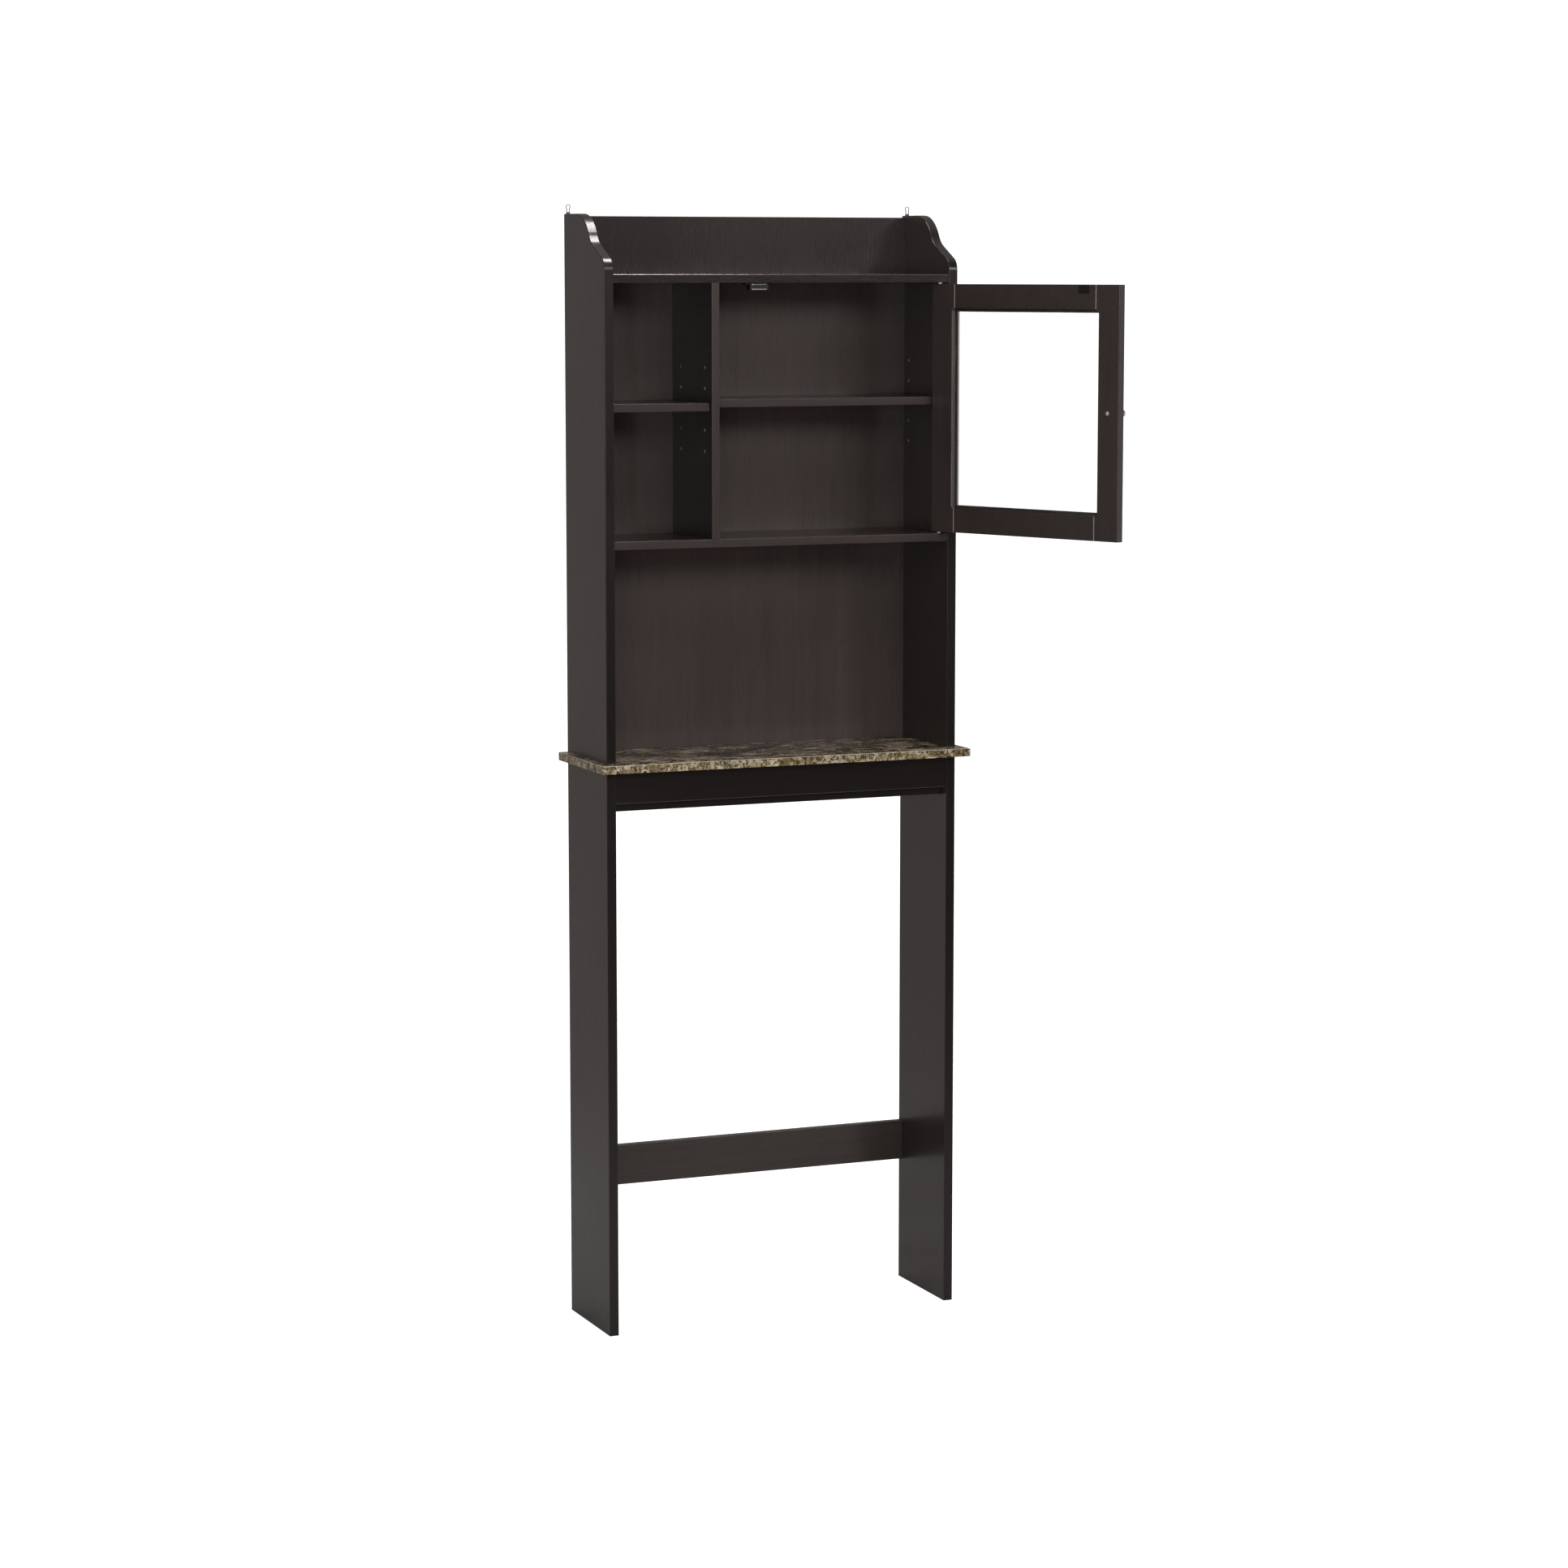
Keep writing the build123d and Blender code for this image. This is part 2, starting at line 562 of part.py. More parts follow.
# ---------------------------------------------------------------- pivots
bushing_collar = door_end_gap - 0.3  # spacer across the gap, just clear of the door's end
bushing_end_wall = 0.8
pivot_pin_in_shelf = bushing_depth - bushing_end_wall - 0.4
pivots = {"bottom": (bottom_shelf_top_z, 1), "top": (top_shelf_z[0], -1)}

for place, (shelf_z, into_door) in pivots.items():
    shelf_face = Plane.XY.offset(shelf_z)
    with BuildPart() as pivot_bushing:
        rod(shelf_face, [(pivot_x, pivot_y)], bushing_radius, -into_door * bushing_depth)
        rod(shelf_face, [(pivot_x, pivot_y)], bushing_collar_radius, into_door * bushing_collar)
        bore_mouth = Plane.XY.offset(shelf_z + into_door * bushing_collar)
        bore_depth = bushing_collar + bushing_depth - bushing_end_wall
        rod(bore_mouth, [(pivot_x, pivot_y)], pivot_pin_radius + fit, -into_door * bore_depth,
            Mode.SUBTRACT)
    pivot_bushing.part.label = f"pivot_bushing_{place}"
    export_step(pivot_bushing.part, f"parts/pivot_bushing_{place}.step")

    with BuildPart() as pivot_pin:
        pin_foot = Plane.XY.offset(shelf_z - into_door * pivot_pin_in_shelf)
        pin_length = pivot_pin_in_shelf + door_end_gap + pivot_pin_in_door
        rod(pin_foot, [(pivot_x, pivot_y)], pivot_pin_radius, into_door * pin_length)
        fillet(pivot_pin.edges().filter_by(GeomType.CIRCLE), radius=edge_round / 2)
    pivot_pin.part.label = f"pivot_pin_{place}"
    export_step(pivot_pin.part, f"parts/pivot_pin_{place}.step")

# ---------------------------------------------------------------- wall hangers
for side, end in (("left", -1), ("right", 1)):
    with BuildPart() as wall_hanger:
        eye_z = hanger_top_z - hanger_width / 2
        with BuildSketch(hanger_face):
            with Locations((end * hanger_x, (hanger_bottom_z + hanger_neck_bottom_z) / 2)):
                Rectangle(hanger_width, hanger_neck_bottom_z - hanger_bottom_z)
            with Locations((end * hanger_x, (hanger_neck_bottom_z + eye_z) / 2)):
                Rectangle(2 * hanger_neck_half_width, eye_z - hanger_neck_bottom_z)
            with Locations((end * hanger_x, eye_z)):
                Circle(hanger_width / 2)
                Circle(hanger_eye_radius, mode=Mode.SUBTRACT)
            with Locations((end * hanger_x, (hanger_slot_bottom_z + eye_z) / 2)):
                Rectangle(2 * hanger_slot_half_width, eye_z - hanger_slot_bottom_z, mode=Mode.SUBTRACT)
        extrude(amount=hanger_thickness)
        screw(hanger_face, [(end * hanger_x, hanger_screw_z)], back_screw_radius,
              hanger_thickness, Mode.SUBTRACT, fit)
    wall_hanger.part.label = f"wall_hanger_{side}"
    export_step(wall_hanger.part, f"parts/wall_hanger_{side}.step")

with BuildPart() as wall_hanger_screws:
    hanger_screws = [(end * hanger_x, hanger_screw_z) for end in both_ends]
    screw(hanger_face, hanger_screws, back_screw_radius, hanger_screw_length)
wall_hanger_screws.part.label = "wall_hanger_screws"
export_step(wall_hanger_screws.part, "parts/wall_hanger_screws.step")

# ---------------------------------------------------------------- door
# Door planes lie in the door's own face: X runs from the pivot to the free edge, Y is up
# and Z runs from the front face to the back face.
pivot_plane = Plane(
    origin=(pivot_x, pivot_y, 0),
    x_dir=Vector(-1, 0, 0).rotate(Axis.Z, door_open_angle),
    z_dir=Vector(0, 1, 0).rotate(Axis.Z, door_open_angle),
)
door_front = pivot_plane.offset(-board / 2)
door_back = pivot_plane.offset(board / 2)
door_u = (-pivot_from_edge, free_edge)
opening_u = (door_u[0] + stile_width, door_u[1] - stile_width)
opening_z = (door_z[0] + rail_height, door_z[1] - rail_height)
pane_z = (opening_z[0] - rabbet_width, opening_z[1] + rabbet_width)
pane_u = (opening_u[0] - rabbet_width, opening_u[1] + rabbet_width)
rabbet_floor = door_front.offset(board - rabbet_depth)
knob_z = sum(door_z) / 2
rail_zs = {"bottom": (door_z[0], opening_z[0]), "top": (opening_z[1], door_z[1])}
door_dowel_in_stile = 16
door_dowel_in_rail = 14
joint_dowel_zs = [sum(z_span) / 2 + shift for z_span in rail_zs.values() for shift in (-10, 10)]
strike_u = free_edge - strike_from_edge
strike_z = (door_z[1] - 13.3, door_z[1] - 1.3)
strike_half_width = 10
strike_thickness = 0.9
strike_screw_radius = 1.3
strike_screw_length = 9
strike_screw_places = [(strike_u + side * 6, sum(strike_z) / 2) for side in both_ends]
strike_face = Plane(
    origin=door_back.origin + door_back.z_dir * strike_thickness,
    x_dir=-pivot_plane.x_dir,
    z_dir=-pivot_plane.z_dir,
)
mirrored_strike_places = [(-u, z) for u, z in strike_screw_places]
knob_u = free_edge - knob_from_edge


def pane(plane, thickness, inset=0.0, mode=Mode.ADD, taper=0.0):
    """Add or cut a slab with the rabbet's round-cornered outline, drawn in by an inset."""
    with BuildSketch(plane) as outline:
        with Locations((sum(pane_u) / 2, sum(pane_z) / 2)):
            width = pane_u[1] - pane_u[0] - 2 * inset
            height = pane_z[1] - pane_z[0] - 2 * inset
            RectangleRounded(width, height, rabbet_corner - inset)
    extrude(outline.sketch, amount=thickness, taper=taper, mode=mode)


def across_plane(u):
    """The plane across the door at a distance from the pivot: X is front to back, Y is up."""
    origin = door_front.origin + door_front.x_dir * u
    return Plane(origin=origin, x_dir=door_front.z_dir, z_dir=-door_front.x_dir)


for side, stile_u, opening_edge, inward in (
    ("hinge", (door_u[0], opening_u[0]), opening_u[0], 1),
    ("latch", (opening_u[1], door_u[1]), opening_u[1], -1),
):
    with BuildPart() as door_stile:
        slab(door_front, stile_u, door_z, (0, board))
        fillet(door_stile.edges().filter_by(Axis.Z), radius=edge_round)
        pane(rabbet_floor, rabbet_depth, mode=Mode.SUBTRACT)
        places = [(board / 2, z) for z in joint_dowel_zs]
        reach = inward * (door_dowel_in_stile + fit)
        rod(across_plane(opening_edge), places, dowel_radius + fit, reach, Mode.SUBTRACT)
        if side == "hinge":
            for (shelf_z, into_door), door_end_z in zip(pivots.values(), door_z):
                rod(Plane.XY.offset(door_end_z), [(pivot_x, pivot_y)], pivot_pin_radius + fit,
                    into_door * (pivot_pin_in_door + fit), Mode.SUBTRACT)
        else:
            rod(door_front, [(knob_u, knob_z)], knob_screw_radius + fit, board, Mode.SUBTRACT)
    door_stile.part.label = f"door_stile_{side}"
    export_step(door_stile.part, f"parts/door_stile_{side}.step")

for place, rail_z in rail_zs.items():
    with BuildPart() as door_rail:
        slab(door_front, opening_u, rail_z, (0, board))
        chamfer(door_rail.edges().filter_by(Axis.Z), length=joint_groove)
        pane(rabbet_floor, rabbet_depth, mode=Mode.SUBTRACT)
        places = [(board / 2, z) for z in joint_dowel_zs]
        for opening_edge, outward in ((opening_u[0], -1), (opening_u[1], 1)):
            reach = outward * (door_dowel_in_rail + fit)
            rod(across_plane(opening_edge), places, dowel_radius + fit, reach, Mode.SUBTRACT)
        if place == "top":
            screw(strike_face, mirrored_strike_places, strike_screw_radius, strike_screw_length,
                  Mode.SUBTRACT, fit)
    door_rail.part.label = f"door_rail_{place}"
    export_step(door_rail.part, f"parts/door_rail_{place}.step")

with BuildPart() as door_dowels:
    places = [(board / 2, z) for z in joint_dowel_zs]
    dowel_length = door_dowel_in_stile + door_dowel_in_rail
    for opening_edge, outward in ((opening_u[0], -1), (opening_u[1], 1)):
        stile_end = across_plane(opening_edge + outward * door_dowel_in_stile)
        rod(stile_end, places, dowel_radius, outward * dowel_length)
    fillet(door_dowels.edges().filter_by(GeomType.CIRCLE), radius=edge_round)
door_dowels.part.label = "door_dowels"
export_step(door_dowels.part, "parts/door_dowels.step")

with BuildPart() as door_glass:
    pane(rabbet_floor, glass_thickness, glass_edge_gap)
door_glass.part.label = "door_glass"
export_step(door_glass.part, "parts/door_glass.step")

with BuildPart() as glazing_seal:
    glass_back = rabbet_floor.offset(glass_thickness)
    pane(glass_back, seal_leg)
    pane(glass_back, seal_leg, seal_leg, Mode.SUBTRACT, taper=-45)
glazing_seal.part.label = "glazing_seal"
export_step(glazing_seal.part, "parts/glazing_seal.step")

with BuildPart() as door_knob:
    knob_centre = door_front.origin + door_front.x_dir * knob_u + Vector(0, 0, knob_z)
    # sketch plane through the knob's axis: X along the door, Y straight out of its front face
    knob_plane = Plane(origin=knob_centre, x_dir=door_front.x_dir, z_dir=(0, 0, 1))
    base_radius, neck_radius, head_radius = 4.5, 3.2, 6.0
    with BuildSketch(knob_plane):
        with BuildLine():
            rim_start = (head_radius, knob_projection - 5)
            Polyline((0, 0), (base_radius, 0), (base_radius, 2), (neck_radius, 3.5), (neck_radius, 8))
            Spline((neck_radius, 8), (4.9, 11.5), rim_start, tangents=((0, 1), (0, 1)))
            Spline(rim_start, (4.6, knob_projection - 1.2), (0, knob_projection),
                   tangents=((0, 1), (-1, 0)))
            Line((0, knob_projection), (0, 0))
        make_face()
    revolve(axis=Axis(knob_centre, -door_front.z_dir))
    rod(door_front, [(knob_u, knob_z)], knob_screw_radius + fit, -9 - fit, Mode.SUBTRACT)
door_knob.part.label = "door_knob"
export_step(door_knob.part, "parts/door_knob.step")

with BuildPart() as knob_screw:
    head_radius, head_height = 3.0, 2.0
    rod(door_back, [(knob_u, knob_z)], head_radius, head_height)
    head_edges = knob_screw.edges().filter_by(GeomType.CIRCLE)
    fillet(head_edges.sort_by(Axis(knob_centre, door_front.z_dir))[-1], radius=0.9)
    rod(door_back, [(knob_u, knob_z)], knob_screw_radius, -board - 9)
knob_screw.part.label = "knob_screw"
export_step(knob_screw.part, "parts/knob_screw.step")

with BuildPart() as strike_plate:
    strike_span = (strike_u - strike_half_width, strike_u + strike_half_width)
    slab(door_back, strike_span, strike_z, (0, strike_thickness))
    corner_edges = strike_plate.edges().group_by(SortBy.LENGTH)[0]
    fillet(corner_edges, radius=2)
    screw(strike_face, mirrored_strike_places, strike_screw_radius, strike_thickness, Mode.SUBTRACT, fit)
strike_plate.part.label = "strike_plate"
export_step(strike_plate.part, "parts/strike_plate.step")

with BuildPart() as strike_screws:
    screw(strike_face, mirrored_strike_places, strike_screw_radius, strike_screw_length)
strike_screws.part.label = "strike_screws"
export_step(strike_screws.part, "parts/strike_screws.step")
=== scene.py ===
"""Looks for the over-the-toilet storage rack: materials, raw bores, floor, lights and camera."""

import math

import bmesh
import bpy
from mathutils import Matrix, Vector


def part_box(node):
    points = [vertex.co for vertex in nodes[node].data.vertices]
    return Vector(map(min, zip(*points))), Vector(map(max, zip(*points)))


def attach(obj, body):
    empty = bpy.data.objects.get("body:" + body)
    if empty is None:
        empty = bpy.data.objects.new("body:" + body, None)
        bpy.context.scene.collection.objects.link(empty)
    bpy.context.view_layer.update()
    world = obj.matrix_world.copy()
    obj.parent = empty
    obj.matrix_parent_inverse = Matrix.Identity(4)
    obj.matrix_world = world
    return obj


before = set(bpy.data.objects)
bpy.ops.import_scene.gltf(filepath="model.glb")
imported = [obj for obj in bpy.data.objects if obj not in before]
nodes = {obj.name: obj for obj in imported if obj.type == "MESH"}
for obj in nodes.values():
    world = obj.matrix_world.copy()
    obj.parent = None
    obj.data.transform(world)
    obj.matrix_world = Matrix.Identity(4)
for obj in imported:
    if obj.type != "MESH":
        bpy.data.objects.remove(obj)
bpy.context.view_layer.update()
MM = 0.001


# ---------------------------------------------------------------- material helper
class Finish:
    """A Principled material, with short calls for the nodes that shape it."""

    def __init__(self, name, **sockets):
        self.data = bpy.data.materials.new(name)
        self.data.use_nodes = True
        self.tree = self.data.node_tree
        self.shader = self.tree.nodes["Principled BSDF"]
        for socket, value in sockets.items():
            self.set(socket.replace("_", " "), value)

    def feed(self, target, value):
        """Links an output to a socket, or gives it a value; a colour may leave out its alpha."""
        if isinstance(value, bpy.types.NodeSocket):
            self.tree.links.new(value, target)
        elif target.type == "RGBA" and len(value) == 3:
            target.default_value = (*value, 1)
        else:
            target.default_value = value

    def set(self, socket, value):
        """Feeds one of the shader's own sockets."""
        self.feed(self.shader.inputs[socket], value)

    def node(self, kind, inputs=(), **settings):
        """Adds a node; inputs is a list of (socket, value or output)."""
        made = self.tree.nodes.new(kind)
        for name, value in settings.items():
            setattr(made, name, value)
        for socket, value in inputs:
            self.feed(made.inputs[socket], value)
        return made

    def place(self, stretch=(1, 1, 1), shift=(0, 0, 0)):
        """Object coordinates in metres, multiplied along each axis and then shifted."""
        coordinates = self.node("ShaderNodeTexCoord").outputs["Object"]
        mapping = [("Vector", coordinates), ("Scale", stretch), ("Location", shift)]
        return self.node("ShaderNodeMapping", mapping).outputs["Vector"]

    def noise(self, place, scale, detail=2.0, roughness=0.5, distortion=0.0):
        """Noise with about scale features in a metre."""
        inputs = [("Vector", place), ("Scale", scale), ("Detail", detail),
                  ("Roughness", roughness), ("Distortion", distortion)]
        return self.node("ShaderNodeTexNoise", inputs).outputs["Fac"]

    def ramp(self, factor, stops):
        """Maps a factor through (position, colour) stops."""
        made = self.node("ShaderNodeValToRGB", [("Fac", factor)])
        elements = made.color_ramp.elements
        while len(elements) < len(stops):
            elements.new(0.5)
        for element, (position, colour) in zip(elements, stops):
            element.position = position
            element.color = (*colour, 1)
        return made.outputs["Color"]

    def span(self, value, low, high, to_low=0.0, to_high=1.0):
        """Maps a number from one range to another and clamps it."""
        inputs = [("Value", value), ("From Min", low), ("From Max", high),
                  ("To Min", to_low), ("To Max", to_high)]
        return self.node("ShaderNodeMapRange", inputs).outputs["Result"]

    def mix(self, factor, first, second):
        """Mixes two colours: a factor of 0 gives the first, and 1 the second."""
        inputs = [(0, factor), (6, first), (7, second)]
        return self.node("ShaderNodeMix", inputs, data_type="RGBA").outputs[2]

    def maths(self, operation, first, second=0.0):
        return self.node("ShaderNodeMath", [(0, first), (1, second)], operation=operation).outputs[0]

    def bump(self, height, distance, strength):
        """Bump where a height of 1 stands a distance in metres above 0, softened by the strength."""
        inputs = [("Height", height), ("Distance", distance), ("Strength", strength)]
        return self.node("ShaderNodeBump", inputs).outputs["Normal"]


# ---------------------------------------------------------------- materials
ALONG = {"X": (0.06, 1, 1), "Z": (1, 1, 0.06)}  # draws a pattern out along one axis
ESPRESSO_STAIN = (0.027, 0.0205, 0.0185)
JOINT_HIGHLIGHT_GREY = (0.30, 0.28, 0.27)  # pale grey for the painted highlight lines along the door's joints


def shade(colour, factor):
    return tuple(channel * factor for channel in colour)


def espresso(name, along, tone=1.0, gloss=0.31, ior=1.45, stain=ESPRESSO_STAIN):
    """Dark stained and lacquered board: faint grain along one axis, pores and a soft sheen."""
    base = shade(stain, tone)
    dark_grain, light_grain, streak, cloud = (shade(base, factor) for factor in (0.86, 1.14, 0.62, 1.35))
    finish = Finish(f"espresso_{name}", IOR=ior, Coat_Weight=0.25, Coat_Roughness=0.12)
    finish.set("Specular Tint", (1, 0.88, 0.85))
    grain_place = finish.place(ALONG[along])
    wander = finish.noise(grain_place, 55, detail=4, roughness=0.6, distortion=0.6)
    streaks = finish.noise(grain_place, 420, detail=3, roughness=0.65)
    pores = finish.noise(grain_place, 1500, detail=2)
    clouds = finish.noise(finish.place(), 5, detail=3)
    colour = finish.ramp(wander, [(0.3, dark_grain), (0.7, light_grain)])
    colour = finish.mix(finish.span(streaks, 0.55, 0.75), colour, streak)
    colour = finish.mix(finish.span(clouds, 0.35, 0.7, 0, 0.35), colour, cloud)
    roughness = finish.maths("ADD", finish.span(streaks, 0.3, 0.7, gloss, gloss + 0.06),
                             finish.span(clouds, 0.3, 0.7, -0.02, 0.03))
    height = finish.maths("ADD", finish.span(pores, 0.35, 0.6), finish.span(streaks, 0.3, 0.7, 0, 1.5))
    finish.set("Base Color", colour)
    finish.set("Roughness", roughness)
    finish.set("Normal", finish.bump(height, 0.04 * MM, 0.5))
    return finish.data


def laminate_top(finish, grit):
    """Colour of the counter's top: black and umber clouds with grey-tan drifts, seams and grit."""
    pale_seam, dark_cloud = (0.66, 0.54, 0.37), (0.012, 0.008, 0.005)
    pale_grit, dark_grit = (0.50, 0.40, 0.26), (0.008, 0.005, 0.004)
    drift = finish.noise(finish.place((0.75, 1, 1)), 36, detail=9, roughness=0.66, distortion=0.5)
    veins = finish.noise(finish.place((0.6, 1, 1), (3, 1, 2)), 34, detail=8, roughness=0.62,
                         distortion=0.9)
    tint = finish.noise(finish.place(shift=(4, 9, 5)), 16, detail=3)
    warm = finish.ramp(drift, [(0.40, (0.010, 0.007, 0.004)), (0.48, (0.060, 0.037, 0.018)),
                               (0.55, (0.27, 0.195, 0.105)), (0.63, (0.60, 0.49, 0.32))])
    grey = finish.ramp(drift, [(0.40, (0.008, 0.005, 0.005)), (0.49, (0.050, 0.034, 0.026)),
                               (0.56, (0.22, 0.165, 0.125)), (0.64, (0.62, 0.53, 0.44))])
    colour = finish.mix(finish.span(tint, 0.4, 0.6), warm, grey)
    seam = finish.maths("ABSOLUTE", finish.maths("SUBTRACT", veins, 0.5))
    colour = finish.mix(finish.span(seam, 0.006, 0.022, 0.75, 0), colour, pale_seam)
    colour = finish.mix(finish.span(veins, 0.58, 0.66, 0, 0.85), colour, dark_cloud)
    colour = finish.mix(finish.span(grit, 0.60, 0.70, 0, 0.5), colour, pale_grit)
    return finish.mix(finish.span(grit, 0.30, 0.42, 0.65, 0), colour, dark_grit)


def laminate_band(finish, upright):
    """Colour of the counter's edge: cream patches with dark flecks, and a painted highlight of pale
    cream along the top arris.
    """
    dark_fleck, brown_speck, highlight_cream = (0.045, 0.027, 0.016), (0.10, 0.07, 0.04), (0.78, 0.70, 0.57)
    flecks = finish.noise(finish.place(shift=(2, 8, 4)), 170, detail=5, roughness=0.75, distortion=1.4)
    patches = finish.noise(finish.place(shift=(9, 3, 6)), 75, detail=4, roughness=0.6)
    specks = finish.noise(finish.place(shift=(5, 2, 8)), 520, detail=3, roughness=0.6)
    colour = finish.ramp(patches, [(0.40, (0.22, 0.165, 0.075)), (0.5, (0.44, 0.36, 0.21)),
                                   (0.58, (0.68, 0.58, 0.42))])
    colour = finish.mix(finish.span(flecks, 0.50, 0.54, 0, 0.95), colour, dark_fleck)
    colour = finish.mix(finish.span(specks, 0.60, 0.68, 0, 0.6), colour, brown_speck)
    # painted highlight: pale cream along the rounded top arris
    arris = finish.maths("MULTIPLY", finish.span(upright, 0.15, 0.5),
                         finish.span(upright, 0.93, 0.98, 1, 0))
    return finish.mix(finish.maths("MULTIPLY", arris, 0.7), colour, highlight_cream)


def stone_laminate(name):
    """Brown stone-look laminate on the counter's top, with a cream band round its edges."""
    finish = Finish(name, IOR=1.35, Coat_Weight=0.1, Coat_Roughness=0.1)
    grit = finish.noise(finish.place(shift=(7, 5, 1)), 300, detail=4, roughness=0.7)
    normal = finish.node("ShaderNodeTexCoord").outputs["Normal"]
    upright = finish.node("ShaderNodeSeparateXYZ", [("Vector", normal)]).outputs["Z"]
    on_edge = finish.span(upright, 0.90, 0.97, 1, 0)
    top = laminate_top(finish, grit)
    band = laminate_band(finish, upright)
    finish.set("Base Color", finish.mix(on_edge, top, band))
    finish.set("Roughness", finish.span(grit, 0.3, 0.7, 0.20, 0.30))
    finish.set("Normal", finish.bump(grit, 0.02 * MM, 0.4))
    return finish.data


def metal(name, colour, roughness, along, brushed):
    """Plated or brushed metal: fine scratches along one axis and a slightly uneven tone."""
    finish = Finish(name, Metallic=1.0, Anisotropic=brushed)
    scratches = finish.noise(finish.place(ALONG[along]), 2600, detail=2)
    stains = finish.noise(finish.place(), 160, detail=3)
    finish.set("Base Color", finish.ramp(stains, [(0.3, shade(colour, 0.88)), (0.7, colour)]))
    finish.set("Roughness", finish.span(scratches, 0.3, 0.7, roughness - 0.06, roughness + 0.08))
    finish.set("Normal", finish.bump(scratches, 0.01 * MM, 0.5))
    return finish.data


def moulded(name, colour, roughness):
    """Moulded plastic: fine erosion texture with a slightly mottled gloss."""
    finish = Finish(name, IOR=1.5)
    texture = finish.noise(finish.place(), 1800, detail=3)
    stains = finish.noise(finish.place(), 90, detail=2)
    finish.set("Base Color", finish.ramp(stains, [(0.3, shade(colour, 0.92)), (0.7, colour)]))
    finish.set("Roughness", finish.span(texture, 0.3, 0.7, roughness - 0.05, roughness + 0.05))
    finish.set("Normal", finish.bump(texture, 0.03 * MM, 0.5))
    return finish.data


def raw_board(name, colour, along):
    """Unpainted fibreboard or beech: pressed fibres, matte."""
    finish = Finish(name, IOR=1.4)
    fibres = finish.noise(finish.place(ALONG[along]), 900, detail=4, roughness=0.7)
    finish.set("Base Color", finish.ramp(fibres, [(0.3, shade(colour, 0.7)), (0.7, colour)]))
    finish.set("Roughness", finish.span(fibres, 0.3, 0.7, 0.75, 0.9))
    finish.set("Normal", finish.bump(fibres, 0.08 * MM, 0.6))
    return finish.data


def clear_glass(name):
    """Clear float glass with a faint green cast and a trace of haze."""
    hazy, clean = (0.975, 0.992, 0.985), (0.99, 0.998, 0.995)
    finish = Finish(name, Transmission_Weight=1.0, IOR=1.45, Alpha=0.26)
    smear = finish.noise(finish.place((1, 1, 0.3)), 22, detail=4)
    finish.set("Base Color", finish.ramp(smear, [(0.3, hazy), (0.7, clean)]))
    finish.set("Roughness", finish.span(smear, 0.4, 0.8, 0.0, 0.02))
    return finish.data


# tone multiplies the stain, and gloss is the lacquer's roughness, so less is shinier; most tones are set
# so that a face group reaches a brightness under these lamps, so besides the stain they carry painted
# light and shade
upright_face = espresso("upright_face", "Z", tone=0.9)
upright_edge = espresso("upright_edge", "Z", tone=0.2, gloss=0.3)
# painted highlight: the uprights' arrises are lighter than their edges
upright_arris = espresso("upright_arris", "Z", tone=0.5, gloss=0.25)
level_face = espresso("level_face", "X", tone=0.45, gloss=0.2)
# painted highlight: the level boards' arrises are lighter than their faces
level_arris = espresso("level_arris", "X", tone=1.2, gloss=0.2, ior=2.0)
stretcher_face = espresso("stretcher_face", "X", tone=1.5)
# painted light and shade: the back panel, shaded inside the bays, is lightened well above the open
# gallery board
gallery_face = espresso("gallery_face", "Z", tone=0.6, gloss=0.24)
rear_face = espresso("rear_face", "Z", tone=1.2, gloss=0.36)
back_face = espresso("back_face", "Z", tone=2.1, gloss=0.4)
shelf_face = espresso("shelf_face", "X", tone=0.9)
shelf_edge = espresso("shelf_edge", "X", tone=1.5)
# painted highlight: the shelves' arrises are lighter than their edges
shelf_arris = espresso("shelf_arris", "X", tone=1.9)
# painted shade: the divider's faces are darkened, and its arris is lighter as a painted highlight
divider_face = espresso("divider_face", "Z", tone=0.3)
divider_edge = espresso("divider_edge", "Z", tone=1.5)
divider_arris = espresso("divider_arris", "Z", tone=1.8)
stile_face = espresso("stile_face", "Z", tone=1.75)
rail_face = espresso("rail_face", "X", tone=1.7)
door_edge = espresso("door_edge", "Z", tone=1.2)
# painted highlight: the hinge stile's edges, its rabbet wall among them, are made pale
rabbet_edge = espresso("rabbet_edge", "Z", tone=3.5)
# painted highlight: the latch stile's arrises are lighter than its edges
door_arris = espresso("door_arris", "Z", tone=2.0, gloss=0.22)
# painted highlight: pale lines along the door's joints, on the rails' and the hinge stile's arrises
joint_arris = espresso("joint_arris", "Z", gloss=0.3, stain=JOINT_HIGHLIGHT_GREY)
laminate = stone_laminate("stone_look_laminate")
zinc = metal("zinc_plate", (0.74, 0.74, 0.73), 0.30, "Z", brushed=0.4)
nickel = metal("brushed_nickel", (0.74, 0.72, 0.69), 0.36, "X", brushed=0.3)
bright_zinc = metal("bright_zinc", (0.86, 0.86, 0.85), 0.5, "Z", brushed=0.0)
hanger_steel = metal("hanger_steel", (0.09, 0.09, 0.09), 0.4, "Z", brushed=0.2)
casting = metal("zinc_casting", (0.52, 0.52, 0.51), 0.5, "X", brushed=0.0)
# painted shade: the strike plate and its screws get near-black steel that stands in for the dark
# surroundings their plating reflects
painted_shade_metal = metal("bronzed_steel", (0.06, 0.05, 0.045), 0.42, "X", brushed=0.2)
sealant = moulded("dark_sealant", (0.018, 0.015, 0.013), 0.35)
brown_plastic = moulded("catch_plastic", (0.022, 0.017, 0.014), 0.45)
nylon = moulded("white_nylon", (0.83, 0.83, 0.80), 0.4)
ferrite = moulded("ferrite", (0.035, 0.034, 0.034), 0.7)
fibreboard = raw_board("raw_fibreboard", (0.52, 0.39, 0.25), "Z")
beech = raw_board("beech", (0.62, 0.45, 0.27), "X")
glass = clear_glass("clear_glass")

